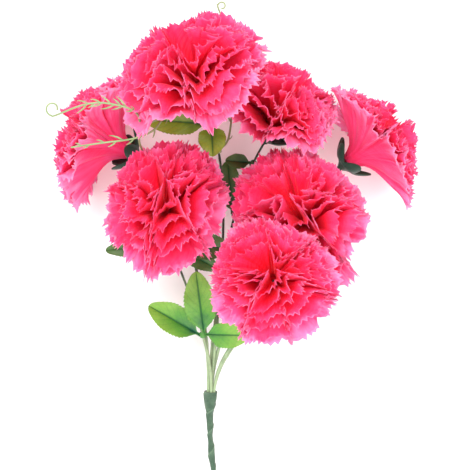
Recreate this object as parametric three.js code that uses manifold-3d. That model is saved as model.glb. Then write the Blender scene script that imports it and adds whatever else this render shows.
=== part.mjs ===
// A bunch of seven fabric carnations on plastic-coated wire stems, bound with tape into one handle.
// The bunch lies on its back on a flat surface. Millimetres: +X across the bunch, +Y from the cut end
// of the handle towards the flowers, +Z up off the surface. The origin is the bottom centre of the
// bunch's bounding box.

import * as THREE from "three";
import { mergeVertices } from "three/addons/utils/BufferGeometryUtils.js";
import Module from "manifold-3d";

const wasm = await Module();
wasm.setup();

// ---------------------------------------------------------------- driving dimensions

const GAP = 0.3; // clearance between pieces that touch

// Petals: four pleated fabric rounds threaded on each flower's pin.
const PETAL_LENGTH = 56; // from the pin to the pinked rim of a fully fluffed round
const PETAL_THICKNESS = 1.0;
const PLEATS = 5; // pleats round a petal round
const PLEAT_FACETS = 3; // facets across a pleat
const PLEAT_ANGLE = 6; // degrees that a pleat swings each way at the rim
const NOTCH = 0.07; // share of the length cut away between two petals
const CUP_LEAN = 0.8; // lean of the gathered foot of a round, as a share of its spread
const SEAT_PITCH = 1.7; // height of one round above the next on the pin
const FOOT_RADIUS = 2.6; // flat middle of the innermost round
const FOOT_STEP = 1.8; // growth of the flat middle from one round to the next

// Calyx: a moulded cup with a pin through the petals, five sepals and a socket for the stem.
const PIN_RADIUS = 1.1;
const PIN_RISE = 5; // pin above the last petal round
const CALYX_WALL = 1.1;
const CALYX_NECK = 7; // from the cup floor to the stem's end of the calyx
const SOCKET_DEPTH = 4.5; // stem inside the calyx
const SOCKET_CLEARANCE = 0.4;
const SEPALS = 5;
const SEPAL_LENGTH = 13;
const SEPAL_NOTCH = 0.4; // share of a sepal's length left at the notch between two

// Stems: tapered, from inside the handle to the calyx.
const STEM_BASE_RADIUS = 1.05;
const STEM_TOP_RADIUS = 0.8;
const STEM_SIDES = 8;
const STEM_STEPS = 18;
const STEM_INSERT = 9; // stem inside the handle

// Handle: the taped lower end of the bundle.
const HANDLE_WALL = 0.8; // tape outside the stems
const HANDLE_SIDES = 12;
const HANDLE_STEPS = 16;
const HANDLE_WAIST_RADIUS = 2.1; // where only the core wires run on
const HANDLE_KNUCKLE = 0.35; // swelling at each lap of the tape
const HANDLE_LAPS = 3;
const HANDLE_SHOULDER = 0.15; // share of the handle's length that holds the stems
const MOUTH_HEIGHT = 19; // centre of the handle's upper end above the surface
const HANDLE_DROPS = [
  // places along the handle below its mouth, the last at the cut end
  [-0.9, -11, -2.9],
  [-0.9, -28, -7.5],
  [0, -45, -12.2],
  [1.2, -56, -14.8],
  [3.7, -73, -16.8],
];

// Collars: short rings that hold a leaf set or a sprig on its stem.
const COLLAR_WALL = 0.9;
const COLLAR_HEIGHT = 4;
const COLLAR_CLEARANCE = 0.35;
const COLLAR_SIDES = 8;

// Leaves: thin blades moulded on a collar.
const LEAF_THICKNESS = 0.8;
const LEAF_STALK = 1.0; // half-width at the collar
const LEAF_TIP = 0.7; // half-width at the tip
const LEAF_ALONG = 6; // facets along a leaf

// Sprigs: soft pale tendrils with leaflets.
const SPRIG_RADIUS = 0.65;
const SPRIG_SIDES = 6;
const SPRIG_STEPS = 24;
const LEAFLET_RADIUS = 0.45;
const LEAFLET_LENGTH = 8;
const LEAFLET_SIDES = 4;
const CURL_TURNS = 0.85;

// The petal rounds of one flower, from the heart outwards: spread is the angle in degrees that a
// round leans from the flower's axis, and reach its length as a share of PETAL_LENGTH.
const ROUNDS = [
  { name: "heart_petals", spread: 13, reach: 0.93 },
  { name: "inner_petals", spread: 28, reach: 0.96 },
  { name: "middle_petals", spread: 43, reach: 0.98 },
  { name: "outer_petals", spread: 58, reach: 1.0 },
];

// The flowers. The heads are packed against one another, so a place is given in petal lengths:
// x and y from the handle's mouth, z from the surface. axis is the way the flower faces, fluff
// scales its petals, and oval narrows it across. socket is the stem's place in the bundle in
// degrees from +X towards +Z, or null for the middle one; rise and settle are the shares of the
// stem's span over which it holds the handle's direction and the flower's.
const FLOWERS = [
  { name: "top", place: [-0.12, 3.7, 1.28], axis: [-0.28, 0.66, 0.7], fluff: 0.99, oval: 1,
    socket: null, rise: 0.35, settle: 0.35 },
  { name: "far_left", place: [-1.0, 3.0, 0.7], axis: [-0.86, 0.46, 0.15], fluff: 0.96, oval: 1,
    socket: 150, rise: 0.16, settle: 0.2 },
  { name: "upper_right", place: [0.74, 3.24, 0.7], axis: [0.43, 0.7, 0.58], fluff: 0.94, oval: 1,
    socket: 210, rise: 0.3, settle: 0.3 },
  { name: "far_right", place: [1.71, 2.88, 0.755], axis: [0.76, 0.6, 0.18], fluff: 0.9, oval: 1,
    socket: 270, rise: 0.3, settle: 0.3 },
  { name: "left", place: [-0.56, 2.15, 1.1], axis: [0, 0.48, 0.88], fluff: 0.98, oval: 0.9,
    socket: 90, rise: 0.3, settle: 0.12 },
  { name: "right", place: [1.22, 2.04, 1.06], axis: [-0.25, 0.4, 0.88], fluff: 1.0, oval: 1,
    socket: 330, rise: 0.3, settle: 0.3 },
  { name: "front", place: [0.79, 1.38, 1.82], axis: [-0.05, 0.22, 0.97], fluff: 0.88, oval: 1,
    socket: 30, rise: 0.35, settle: 0.4 },
];

// The leaf sets: at is the share of the stem's length at the collar. In a leaf, toward is the way
// it grows, face the way its upper side looks, fold how much its halves rise and arch how much its
// tip drops.
const LEAF_SETS = [
  {
    name: "leaves_fork",
    stem: "left",
    at: 0.35,
    leaves: [
      { toward: [-0.86, 0.51, 0.12], face: [0.1, 0.1, 1], length: 42, width: 22, fold: 0.3, arch: 0.12 },
      { toward: [-0.13, 0.98, 0.32], face: [0, -0.2, 1], length: 46, width: 23, fold: 0.2, arch: 0.1 },
      { toward: [0.95, -0.03, 0.5], face: [-0.4, -0.2, 1], length: 34, width: 19, fold: 0.15, arch: 0.1 },
    ],
  },
  {
    name: "leaves_top",
    stem: "top",
    at: 0.9,
    leaves: [
      { toward: [-0.97, 0.06, 0.3], face: [0.3, 0, 1], length: 46, width: 19, fold: 0.15, arch: 0.1 },
      { toward: [0.05, -0.85, 0.45], face: [0, 0.4, 1], length: 23, width: 20, fold: 0.2, arch: 0.2 },
      { toward: [0.6, 0.7, 0.1], face: [-0.6, 0, 1], length: 18, width: 10, fold: 0.3, arch: 0.1 },
    ],
  },
  {
    name: "leaves_centre",
    stem: "upper_right",
    at: 0.68,
    leaves: [
      { toward: [-0.1, 0.98, 0.15], face: [-0.2, 0, 1], length: 38, width: 19, fold: 0.25, arch: 0.1 },
      { toward: [0.8, 0.3, 0.3], face: [0, 0, 1], length: 20, width: 11, fold: 0.25, arch: 0.1 },
    ],
  },
  {
    name: "leaves_upper_right",
    stem: "upper_right",
    at: 0.88,
    leaves: [
      { toward: [-0.95, 0.1, 0.2], face: [-0.1, 0.1, 1], length: 18, width: 11, fold: 0.25, arch: 0.1 },
      { toward: [0.7, -0.6, 0.2], face: [0, 0, 1], length: 18, width: 10, fold: 0.3, arch: 0.1 },
    ],
  },
  {
    name: "leaves_far_right",
    stem: "far_right",
    at: 0.84,
    leaves: [
      { toward: [-0.66, 0.72, 0.2], face: [0.3, 0, 1], length: 36, width: 10, fold: 0.3, arch: 0.1 },
      { toward: [0.8, 0.1, 0.6], face: [0, 0.5, 0.8], length: 24, width: 9, fold: 0.2, arch: 0.2 },
      { toward: [0.8, -0.5, 0.1], face: [0, 0, 1], length: 26, width: 12, fold: 0.2, arch: 0.1 },
    ],
  },
  {
    name: "leaves_right",
    stem: "right",
    at: 0.73,
    leaves: [
      { toward: [-0.8, -0.5, 0.3], face: [0, 0, 1], length: 24, width: 10, fold: 0.25, arch: 0.1 },
      { toward: [0.9, -0.4, 0.1], face: [0, 0, 1], length: 20, width: 11, fold: 0.2, arch: 0.1 },
    ],
  },
  {
    name: "leaves_left",
    stem: "left",
    at: 0.84,
    leaves: [
      { toward: [-0.98, -0.1, 0.05], face: [0, 0, 1], length: 44, width: 14, fold: 0.2, arch: 0.1 },
      { toward: [0.98, -0.1, 0], face: [0, 0, 1], length: 42, width: 20, fold: 0.2, arch: 0.1 },
      { toward: [0.84, -0.5, -0.15], face: [0, 0, 1], length: 38, width: 15, fold: 0.2, arch: 0.1 },
    ],
  },
];

// The sprigs: each grows from a collar, leaves it to one side and runs through steps, offsets in mm
// from the collar, to a curl of the given radius. Its leaflets begin at the share leafy.
const SPRIGS = [
  {
    name: "sprig_low",
    stem: "top",
    at: 0.94,
    side: [-0.8, 0.1, 0.5],
    steps: [[-24, 1, 20], [-36, -12, 33], [-50, -18, 39], [-71, -21, 42], [-93, -24, 37]],
    curl: 0,
    leafy: 0.25,
    leaflets: 7,
  },
  {
    name: "sprig_high",
    stem: "far_left",
    at: 0.88,
    side: [-0.3, 0.8, 0.4],
    steps: [[-9, 7, 14], [-16, 20, 36], [-17, 40, 64], [-37, 47, 70], [-54, 46, 69], [-74, 39, 60]],
    curl: 5,
    leafy: 0.5,
    leaflets: 8,
  },
  {
    name: "sprig_top",
    stem: "top",
    at: 0.8,
    side: [0.9, 0.2, -0.1],
    steps: [[6, 10, -10], [8, 40, -16], [5, 80, -14], [-2, 101, -4]],
    curl: 3,
    leafy: 0.1,
    leaflets: 4,
  },
];

// ---------------------------------------------------------------- solids

const vector = (a) => new THREE.Vector3(...a);
const unit = (a) => vector(a).normalize();
const radians = THREE.MathUtils.degToRad;
const lerp = THREE.MathUtils.lerp;

function toManifold(geometry) {
  const plain = new THREE.BufferGeometry();
  plain.setAttribute("position", geometry.getAttribute("position").clone());
  plain.setIndex(geometry.index);
  const merged = mergeVertices(plain, 1e-3);
  return new wasm.Manifold(
    new wasm.Mesh({
      numProp: 3,
      vertProperties: merged.attributes.position.array,
      triVerts: new Uint32Array(merged.index.array),
    }),
  );
}

function toGeometry(solid) {
  const mesh = solid.getMesh();
  return new THREE.BufferGeometry()
    .setAttribute("position", new THREE.BufferAttribute(new Float32Array(mesh.vertProperties), 3))
    .setIndex(new THREE.BufferAttribute(new Uint32Array(mesh.triVerts), 1));
}

// Moves each vertex of a geometry by a function that changes its place.
function reshape(geometry, move) {
  const places = geometry.getAttribute("position");
  const place = new THREE.Vector3();
  for (let i = 0; i < places.count; i++) {
    move(place.fromBufferAttribute(places, i));
    places.setXYZ(i, place.x, place.y, place.z);
  }
  return geometry;
}

// A closed tube along a curve. radiusAt gives its radius at a share of its length.
function taperedTube(curve, radiusAt, sides, steps) {
  const section = new THREE.Shape();
  for (let i = 0; i < sides; i++) {
    const turn = (2 * Math.PI * i) / sides;
    section[i ? "lineTo" : "moveTo"](Math.cos(turn), Math.sin(turn));
  }
  section.closePath();
  const tube = new THREE.ExtrudeGeometry(section, { steps, extrudePath: curve, bevelEnabled: false });
  const centres = curve.getSpacedPoints(steps);
  return reshape(tube, (p) => {
    let nearest = 0;
    centres.forEach((centre, i) => {
      if (centre.distanceToSquared(p) < centres[nearest].distanceToSquared(p)) nearest = i;
    });
    const centre = centres[nearest];
    p.sub(centre).setLength(radiusAt(nearest / steps)).add(centre);
  });
}

// A turned shape about +Z. Each point of its profile is (distance from the axis, height).
function turned(profile, sides) {
  return new THREE.LatheGeometry(profile, sides).rotateX(Math.PI / 2);
}

// The open line parallel to a profile line, at a distance to its outer, lower side.
function parallel(line, distance) {
  const normal = (a, b) => new THREE.Vector2(b.y - a.y, a.x - b.x).normalize();
  return line.map((point, i) => {
    const before = normal(line[Math.max(i - 1, 0)], line[Math.max(i, 1)]);
    const after = normal(line[Math.min(i, line.length - 2)], line[Math.min(i + 1, line.length - 1)]);
    const mitre = before.clone().add(after).normalize();
    return point.clone().addScaledVector(mitre, distance / mitre.dot(after));
  });
}

// The turn that takes +X, +Y and +Z to three square directions.
function turnTo(x, y, z) {
  return new THREE.Quaternion().setFromRotationMatrix(new THREE.Matrix4().makeBasis(x, y, z));
}

// ---------------------------------------------------------------- petals and calyx, in a flower's frame

const petalSides = PLEATS * PLEAT_FACETS;
const HOLE_RADIUS = PIN_RADIUS + GAP;
const CUP_REACH = SEPAL_LENGTH + 1; // the petals keep together as far as the sepals reach

// The middle line of a petal round from the pin to the rim: its flat foot, the gathered cup that the
// sepals hold, and the free petals.
function petalLine(index, length) {
  const lean = radians(ROUNDS[index].spread);
  const hole = new THREE.Vector2(HOLE_RADIUS, 0);
  const foot = new THREE.Vector2(FOOT_RADIUS + index * FOOT_STEP, 0);
  const step = (from, angle, distance) =>
    new THREE.Vector2(from.x + distance * Math.sin(angle), from.y + distance * Math.cos(angle));
  const cup = step(foot, lean * CUP_LEAN, CUP_REACH);
  const rim = step(cup, lean, length - CUP_REACH - foot.x);
  return index === ROUNDS.length - 1 ? [hole, foot, cup, rim] : [hole, foot, rim];
}

// One petal round, pleated and notched beyond its cup.
function petalRound(index, fluff, oval) {
  const length = PETAL_LENGTH * fluff * ROUNDS[index].reach;
  const line = petalLine(index, length);
  const outside = parallel(line, PETAL_THICKNESS / 2);
  const inside = parallel(line, -PETAL_THICKNESS / 2);
  const profile = [...outside, ...inside.reverse(), outside[0].clone()];
  const foot = line[1].x;
  const held = CUP_REACH + PETAL_THICKNESS;
  return reshape(turned(profile, petalSides), (p) => {
    const turn = Math.atan2(p.y, p.x);
    const out = Math.hypot(p.x, p.y) - foot;
    const along = Math.hypot(out, p.z);
    let lean = Math.atan2(out, p.z);
    let kept = along;
    if (out > 0 && along > held) {
      lean += radians(PLEAT_ANGLE) * Math.cos(PLEATS * turn);
      kept -= along * NOTCH * (0.5 - 0.5 * Math.cos(2 * PLEATS * turn));
    }
    const radius = foot + kept * Math.sin(lean);
    p.set(radius * Math.cos(turn) * oval, radius * Math.sin(turn), kept * Math.cos(lean));
  });
}

// The calyx: it follows the outer petals' outside, with the pin up its middle and a socket below.
function calyxGeometry(fluff, oval) {
  const line = petalLine(ROUNDS.length - 1, PETAL_LENGTH * fluff).slice(0, 3);
  line[2].lerpVectors(line[1], line[2], SEPAL_LENGTH / CUP_REACH);
  const clear = PETAL_THICKNESS / 2 + GAP;
  const inside = parallel(line, clear);
  const outside = parallel(line, clear + CALYX_WALL);
  const floor = inside[0].y;
  const end = floor - CALYX_NECK;
  const pinTop = SEAT_PITCH * (ROUNDS.length - 1) + PIN_RISE;
  const socket = STEM_TOP_RADIUS + SOCKET_CLEARANCE;
  const neck = socket + CALYX_WALL;
  const profile = [
    new THREE.Vector2(0, end + SOCKET_DEPTH),
    new THREE.Vector2(socket, end + SOCKET_DEPTH),
    new THREE.Vector2(socket, end),
    new THREE.Vector2(neck, end),
    new THREE.Vector2(lerp(neck, outside[1].x, 0.45), lerp(end, outside[1].y, 0.5)),
    outside[1],
    outside[2],
    inside[2],
    inside[1],
    new THREE.Vector2(PIN_RADIUS, floor),
    new THREE.Vector2(PIN_RADIUS, pinTop),
    new THREE.Vector2(0, pinTop),
  ];
  const cup = new THREE.Vector3(inside[1].x, 0, inside[1].y);
  return reshape(turned(profile, petalSides), (p) => {
    const turn = Math.atan2(p.y, p.x);
    let radius = Math.hypot(p.x, p.y);
    if (radius > outside[1].x + CALYX_WALL) {
      const kept = lerp(SEPAL_NOTCH, 1, 0.5 + 0.5 * Math.cos(SEPALS * turn));
      radius = cup.x + (radius - cup.x) * kept;
      p.z = cup.z + (p.z - cup.z) * kept;
    }
    const squeeze = radius > PIN_RADIUS + neck ? oval : 1;
    p.set(radius * Math.cos(turn) * squeeze, radius * Math.sin(turn), p.z);
  });
}

// The turn from a flower's own frame, +Z along its axis and +X level, to the bunch's.
function flowerTurn(z) {
  const x = new THREE.Vector3(0, 1, 0).cross(z).normalize();
  return turnTo(x, z.clone().cross(x), z);
}

// ---------------------------------------------------------------- handle and stems

const mouth = new THREE.Vector3(0, 0, MOUTH_HEIGHT);
const ringRadius = 2 * STEM_BASE_RADIUS + GAP; // the stems' circle round the middle one
const mouthRadius = ringRadius + STEM_BASE_RADIUS + GAP + HANDLE_WALL;
const handleCurve = new THREE.CatmullRomCurve3([mouth, ...HANDLE_DROPS.map((d) => vector(d).add(mouth))]);
const handleWay = handleCurve.getTangentAt(0).negate();

function handleRadius(share) {
  const past = THREE.MathUtils.clamp((share - HANDLE_SHOULDER) / HANDLE_SHOULDER, 0, 1);
  const knuckle = HANDLE_KNUCKLE * Math.cos(2 * Math.PI * HANDLE_LAPS * share) * past;
  return lerp(mouthRadius, HANDLE_WAIST_RADIUS, THREE.MathUtils.smoothstep(past, 0, 1)) + knuckle;
}

// Where a stem leaves the handle.
function mouthPoint(socket) {
  if (socket === null) return mouth.clone();
  const across = new THREE.Vector3(1, 0, 0).addScaledVector(handleWay, -handleWay.x).normalize();
  const up = across.clone().cross(handleWay);
  const offset = across.multiplyScalar(Math.cos(radians(socket)));
  offset.addScaledVector(up, Math.sin(radians(socket)));
  return offset.multiplyScalar(ringRadius).add(mouth);
}

function flowerBase({ place: [x, y, z] }) {
  return new THREE.Vector3(mouth.x + x * PETAL_LENGTH, mouth.y + y * PETAL_LENGTH, z * PETAL_LENGTH);
}

function stemCurve(flower) {
  const axis = unit(flower.axis);
  const start = mouthPoint(flower.socket);
  const foot = start.clone().addScaledVector(handleWay, -STEM_INSERT);
  const calyxEnd = PETAL_THICKNESS / 2 + GAP + CALYX_NECK;
  const end = flowerBase(flower).addScaledVector(axis, SOCKET_DEPTH - GAP - calyxEnd);
  const neck = flowerBase(flower).addScaledVector(axis, -calyxEnd - STEM_INSERT);
  const span = start.distanceTo(neck);
  const bend = new THREE.CubicBezierCurve3(
    start,
    start.clone().addScaledVector(handleWay, span * flower.rise),
    neck.clone().addScaledVector(axis, -span * flower.settle),
    neck,
  );
  return new THREE.CatmullRomCurve3([foot, ...bend.getSpacedPoints(8), end], false, "centripetal");
}

const stemRadius = (share) => lerp(STEM_BASE_RADIUS, STEM_TOP_RADIUS, share);
const stemCurves = new Map(FLOWERS.map((flower) => [flower.name, stemCurve(flower)]));

// The handle, with a hole for the lower end of each stem.
function handleGeometry() {
  let handle = toManifold(taperedTube(handleCurve, handleRadius, HANDLE_SIDES, HANDLE_STEPS));
  for (const flower of FLOWERS) {
    const start = mouthPoint(flower.socket);
    const hole = new THREE.LineCurve3(
      start.clone().addScaledVector(handleWay, -STEM_INSERT - GAP),
      start.clone().addScaledVector(handleWay, HANDLE_WALL),
    );
    handle = handle.subtract(toManifold(taperedTube(hole, () => STEM_BASE_RADIUS + GAP, STEM_SIDES, 1)));
  }
  return toGeometry(handle);
}

// ---------------------------------------------------------------- collars, leaves and sprigs

// The collar on a stem, and the point in its wall on the side that a direction points to.
function collarOn(stem, at) {
  const curve = stemCurves.get(stem);
  const way = curve.getTangentAt(at);
  const centre = curve.getPointAt(at);
  const bore = stemRadius(at) + COLLAR_CLEARANCE;
  const profile = [
    new THREE.Vector2(bore, -COLLAR_HEIGHT / 2),
    new THREE.Vector2(bore + COLLAR_WALL, -COLLAR_HEIGHT / 2),
    new THREE.Vector2(bore + COLLAR_WALL, COLLAR_HEIGHT / 2),
    new THREE.Vector2(bore, COLLAR_HEIGHT / 2),
    new THREE.Vector2(bore, -COLLAR_HEIGHT / 2),
  ];
  const ring = turned(profile, COLLAR_SIDES);
  ring.applyQuaternion(new THREE.Quaternion().setFromUnitVectors(new THREE.Vector3(0, 0, 1), way));
  ring.translate(...centre.toArray());
  const seat = (toward) => {
    const side = toward.clone().addScaledVector(way, -toward.dot(way)).normalize();
    return centre.clone().addScaledVector(side, bore + COLLAR_WALL / 2);
  };
  return { ring: toManifold(ring), seat };
}

// Half the leaf's width at a share of its length: a narrow stalk, widest near the middle.
function leafHalfWidth(share, width) {
  const blade = Math.sin(Math.PI * share ** 1.15) ** 0.75;
  return Math.max(lerp(LEAF_STALK, LEAF_TIP, share), (width / 2) * blade);
}

function leafGeometry({ toward, face, length, width, fold, arch }) {
  const blade = reshape(new THREE.BoxGeometry(1, 1, 1, 2, LEAF_ALONG, 1), (p) => {
    const share = THREE.MathUtils.clamp(p.y + 0.5, 0, 1);
    const x = 2 * p.x * leafHalfWidth(share, width);
    p.set(x, share * length, p.z * LEAF_THICKNESS + fold * Math.abs(x) - arch * length * share * share);
  });
  const y = unit(toward);
  const z = vector(face);
  z.addScaledVector(y, -z.dot(y)).normalize();
  return blade.applyQuaternion(turnTo(y.clone().cross(z), y, z));
}

function leafSetGeometry({ stem, at, leaves }) {
  const { ring, seat } = collarOn(stem, at);
  let set = ring;
  for (const leaf of leaves) {
    const foot = seat(unit(leaf.toward));
    set = set.add(toManifold(leafGeometry(leaf).translate(...foot.toArray())));
  }
  return toGeometry(set);
}

// The points of a curl that goes on level from the last stretch of a line, tightening as it turns.
function curlPoints(line, radius) {
  const last = line[line.length - 1];
  const way = last.clone().sub(line[line.length - 2]).setZ(0).normalize();
  const inward = new THREE.Vector3(way.y, -way.x, 0);
  const count = 10;
  return Array.from({ length: count }, (_, i) => {
    const turn = (2 * Math.PI * CURL_TURNS * (i + 1)) / count;
    const reach = radius * (1 - (0.35 * (i + 1)) / count);
    const point = last.clone().addScaledVector(inward, radius - reach * Math.cos(turn));
    return point.addScaledVector(way, reach * Math.sin(turn));
  });
}

// A sprig: a tendril with leaflets on both sides, on a collar.
function sprigGeometry({ stem, at, side, steps, curl, leafy, leaflets }) {
  const { ring, seat } = collarOn(stem, at);
  const start = seat(unit(side));
  const line = [start, ...steps.map((step) => vector(step).add(start))];
  const points = curl ? [...line, ...curlPoints(line, curl)] : line;
  const curve = new THREE.CatmullRomCurve3(points, false, "centripetal");
  const taper = (share) => SPRIG_RADIUS * lerp(1, 0.6, share);
  let sprig = ring.add(toManifold(taperedTube(curve, taper, SPRIG_SIDES, SPRIG_STEPS)));
  const leafyEnd = curl ? 0.72 : 0.92;
  for (let i = 0; i < leaflets; i++) {
    const share = lerp(leafy, leafyEnd, i / (leaflets - 1));
    const foot = curve.getPointAt(share);
    const way = curve.getTangentAt(share);
    const out = new THREE.Vector3(-way.y, way.x, i % 3 ? 0.2 : 0.7).normalize();
    out.multiplyScalar(i % 2 ? LEAFLET_LENGTH : -LEAFLET_LENGTH);
    const leaflet = new THREE.QuadraticBezierCurve3(
      foot,
      foot.clone().addScaledVector(way, LEAFLET_LENGTH * 0.45).addScaledVector(out, 0.4),
      foot.clone().addScaledVector(way, LEAFLET_LENGTH * 0.95).addScaledVector(out, 0.5),
    );
    const thin = (share) => LEAFLET_RADIUS * (1 - 0.4 * share);
    sprig = sprig.add(toManifold(taperedTube(leaflet, thin, LEAFLET_SIDES, 2)));
  }
  return toGeometry(sprig);
}

// ---------------------------------------------------------------- materials and assembly

const finish = (color, roughness) => new THREE.MeshStandardMaterial({ color, roughness, metalness: 0 });
const petalFinish = finish(0xff3c78, 0.7);
const calyxFinish = finish(0x1f4a33, 0.5);
const stemFinish = finish(0x4f6b52, 0.5);
const handleFinish = finish(0x52735c, 0.8);
const leafFinish = finish(0x6da53e, 0.6);
const sprigFinish = finish(0xa9bf8a, 0.5);

function named(name, geometry, material) {
  const mesh = new THREE.Mesh(geometry, material);
  mesh.name = name;
  return mesh;
}

function flowerHead(flower) {
  const head = new THREE.Group();
  head.position.copy(flowerBase(flower));
  head.quaternion.copy(flowerTurn(unit(flower.axis)));
  ROUNDS.forEach((round, i) => {
    const petals = named(`${round.name}_${flower.name}`, petalRound(i, flower.fluff, flower.oval), petalFinish);
    petals.position.z = SEAT_PITCH * (ROUNDS.length - 1 - i);
    head.add(petals);
  });
  head.add(named(`calyx_${flower.name}`, calyxGeometry(flower.fluff, flower.oval), calyxFinish));
  return head;
}

const bunch = new THREE.Group();
bunch.add(named("handle", handleGeometry(), handleFinish));
for (const flower of FLOWERS) {
  const stem = taperedTube(stemCurves.get(flower.name), stemRadius, STEM_SIDES, STEM_STEPS);
  bunch.add(flowerHead(flower), named(`stem_${flower.name}`, stem, stemFinish));
}
for (const set of LEAF_SETS) bunch.add(named(set.name, leafSetGeometry(set), leafFinish));
for (const sprig of SPRIGS) bunch.add(named(sprig.name, sprigGeometry(sprig), sprigFinish));

// The origin goes to the bottom centre of the bounding box.
bunch.updateMatrixWorld(true);
const box = new THREE.Box3().setFromObject(bunch, true);
bunch.position.set(-(box.min.x + box.max.x) / 2, -(box.min.y + box.max.y) / 2, -box.min.z);
const part = new THREE.Group();
part.add(bunch);

export default part;
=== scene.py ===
"""A bunch of seven fabric carnations, bound with tape and lying on a pale studio floor."""

import logging
import math
from contextlib import contextmanager
from dataclasses import dataclass
from enum import Enum
from typing import Callable, Iterator, Sequence

import bpy
import numpy as np
from mathutils import Matrix, Vector


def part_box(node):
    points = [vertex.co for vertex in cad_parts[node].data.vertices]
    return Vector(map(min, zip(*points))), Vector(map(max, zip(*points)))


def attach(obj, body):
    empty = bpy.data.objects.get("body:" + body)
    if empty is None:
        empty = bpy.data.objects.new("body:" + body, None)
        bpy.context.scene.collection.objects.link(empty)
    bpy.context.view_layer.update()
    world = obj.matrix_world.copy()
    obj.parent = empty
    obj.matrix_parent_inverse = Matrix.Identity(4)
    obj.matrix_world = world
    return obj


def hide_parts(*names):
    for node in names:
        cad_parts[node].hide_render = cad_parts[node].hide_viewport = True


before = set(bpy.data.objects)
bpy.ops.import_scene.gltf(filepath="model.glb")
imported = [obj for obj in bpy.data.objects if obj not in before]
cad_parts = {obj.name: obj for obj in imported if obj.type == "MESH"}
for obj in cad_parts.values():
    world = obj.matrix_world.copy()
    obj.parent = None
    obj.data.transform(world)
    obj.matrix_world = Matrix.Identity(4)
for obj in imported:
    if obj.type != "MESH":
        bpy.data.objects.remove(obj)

log = logging.getLogger("carnations")

MM = 0.001
TURN = 2 * math.pi
SAME_PLACE = 1e-6  # vertices closer than this are one, m
BODY = "root"

Array = np.ndarray
Colour = tuple[float, float, float, float]


# ------------------------------------------------------------------ small helpers


def tint(code: str) -> Colour:
    """Turns a screen colour into a linear one.

    Args:
        code: Six hexadecimal digits, red first.

    Returns:
        The linear colour with full alpha.
    """
    parts = [int(code[i:i + 2], 16) / 255 for i in (0, 2, 4)]
    linear = [c / 12.92 if c <= 0.04045 else ((c + 0.055) / 1.055) ** 2.4 for c in parts]
    return (*linear, 1.0)


def smooth(x: Array, low: float, high: float) -> Array:
    """Rises smoothly from 0 at low to 1 at high."""
    t = np.clip((x - low) / (high - low), 0, 1)
    return t * t * (3 - 2 * t)


def saw(x: Array) -> Array:
    """Gives a triangle wave that is 0 at whole numbers and 1 halfway between them."""
    return 1 - np.abs(2 * (x % 1.0) - 1)


def unit(v: Sequence[float]) -> Vector:
    """Gives a direction its unit length."""
    return Vector(v).normalized()


def deselect_all() -> None:
    """Leaves object mode with nothing selected."""
    if bpy.context.object and bpy.context.object.mode != "OBJECT":
        bpy.ops.object.mode_set(mode="OBJECT")
    bpy.ops.object.select_all(action="DESELECT")


def choose(obj: bpy.types.Object) -> None:
    """Makes an object the only selected one, and the active one."""
    deselect_all()
    obj.select_set(True)
    bpy.context.view_layer.objects.active = obj


def places_of(obj: bpy.types.Object) -> Array:
    """Reads a mesh object's vertex places as rows of x, y and z."""
    flat = np.empty(len(obj.data.vertices) * 3, np.float32)
    obj.data.vertices.foreach_get("co", flat)
    return flat.reshape(-1, 3).astype(float)


def set_places(obj: bpy.types.Object, places: Array) -> None:
    """Moves a mesh object's vertices to new places."""
    obj.data.vertices.foreach_set("co", places.astype(np.float32).ravel())
    obj.data.update()


@contextmanager
def editing(obj: bpy.types.Object) -> Iterator[None]:
    """Edits a mesh with everything selected, and then goes back to object mode."""
    choose(obj)
    bpy.ops.object.mode_set(mode="EDIT")
    bpy.ops.mesh.select_all(action="SELECT")
    yield
    bpy.ops.object.mode_set(mode="OBJECT")


def apply_modifier(obj: bpy.types.Object, kind: str, **settings: object) -> None:
    """Adds a modifier with some settings and applies it.

    Args:
        obj: The mesh object.
        kind: The modifier's type, such as SOLIDIFY.
        settings: The modifier's properties.
    """
    choose(obj)
    modifier = obj.modifiers.new(kind.title(), kind)
    for name, value in settings.items():
        setattr(modifier, name, value)
    bpy.ops.object.modifier_apply(modifier=modifier.name)


def merge_doubles(obj: bpy.types.Object, outward: bool = False) -> None:
    """Merges a mesh's coincident vertices.

    Args:
        obj: The mesh object.
        outward: Whether its faces are also turned to point outwards.
    """
    with editing(obj):
        bpy.ops.mesh.remove_doubles(threshold=SAME_PLACE)
        if outward:
            bpy.ops.mesh.normals_make_consistent(inside=False)


def close_ends(obj: bpy.types.Object) -> None:
    """Caps a mesh's open ends and turns its faces outwards."""
    with editing(obj):
        bpy.ops.mesh.region_to_loop()
        bpy.ops.mesh.edge_face_add()
    merge_doubles(obj, outward=True)


def shade(obj: bpy.types.Object, degrees: float) -> None:
    """Shades a mesh smooth, with edges kept sharp past an angle."""
    choose(obj)
    bpy.ops.object.shade_smooth_by_angle(angle=math.radians(degrees))


def joined(parts: Sequence[bpy.types.Object], name: str) -> bpy.types.Object:
    """Joins mesh objects into one.

    Args:
        parts: The objects, the first of which is kept.
        name: The joined object's name.

    Returns:
        The joined object.
    """
    deselect_all()
    for part in parts:
        part.select_set(True)
    bpy.context.view_layer.objects.active = parts[0]
    if len(parts) > 1:
        bpy.ops.object.join()
    parts[0].name = name
    return parts[0]


def formed_grid(
    name: str, across: int, along: int, form: Callable[[Array, Array], Array], closed: bool = False
) -> bpy.types.Object:
    """Adds a grid and forms it into a sheet by a function of its two shares.

    Args:
        name: The new object's name.
        across: Faces along the first share.
        along: Faces along the second share.
        form: Gives the places, in metres, from the two shares, each from 0 to 1.
        closed: Whether the sheet's first and last edges across meet.

    Returns:
        The sheet, with the two shares as its UV map.
    """
    deselect_all()
    bpy.ops.mesh.primitive_grid_add(x_subdivisions=across, y_subdivisions=along, size=1)
    obj = bpy.context.object
    obj.name = name
    flat = places_of(obj)
    set_places(obj, form(flat[:, 0] + 0.5, flat[:, 1] + 0.5))
    if closed:
        merge_doubles(obj)
    return obj


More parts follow.
